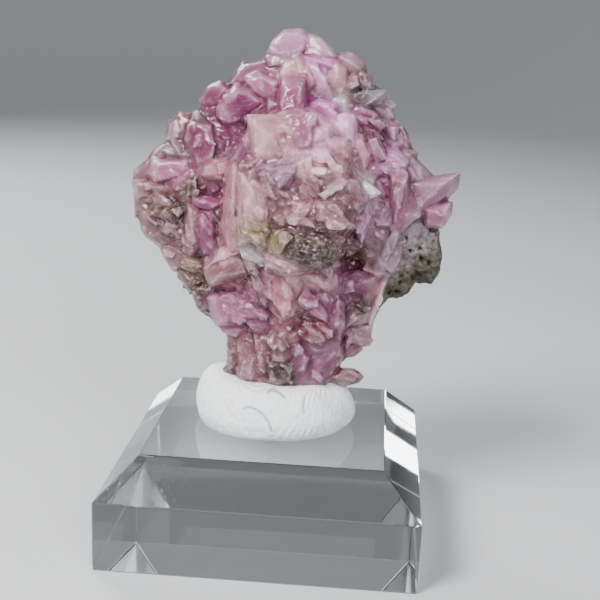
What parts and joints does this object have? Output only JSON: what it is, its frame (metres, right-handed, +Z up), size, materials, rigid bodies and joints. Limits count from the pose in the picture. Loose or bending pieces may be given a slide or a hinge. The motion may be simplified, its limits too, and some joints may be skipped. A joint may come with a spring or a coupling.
{
  "type": "cobaltoan calcite specimen",
  "caption": "Pink cobaltoan calcite crystals on grey host rock, held upright by white mineral tack on a clear bevelled acrylic block.",
  "frame": {"origin": "centre of the acrylic block's underside", "axes": "+Z up; the crystals face -Y, towards the viewer; +X is the viewer's right"},
  "size_m": [0.0405, 0.0382, 0.0623],
  "materials": {
    "acrylic": "gloss",
    "tack": "matte",
    "rock": "matte",
    "calcite": "gloss"
  },
  "bodies": {
    "root": {"acrylic_block": "acrylic", "mineral_tack": "tack", "host_rock": "rock", "calcite_crystals": "calcite"}
  },
  "joints": []
}
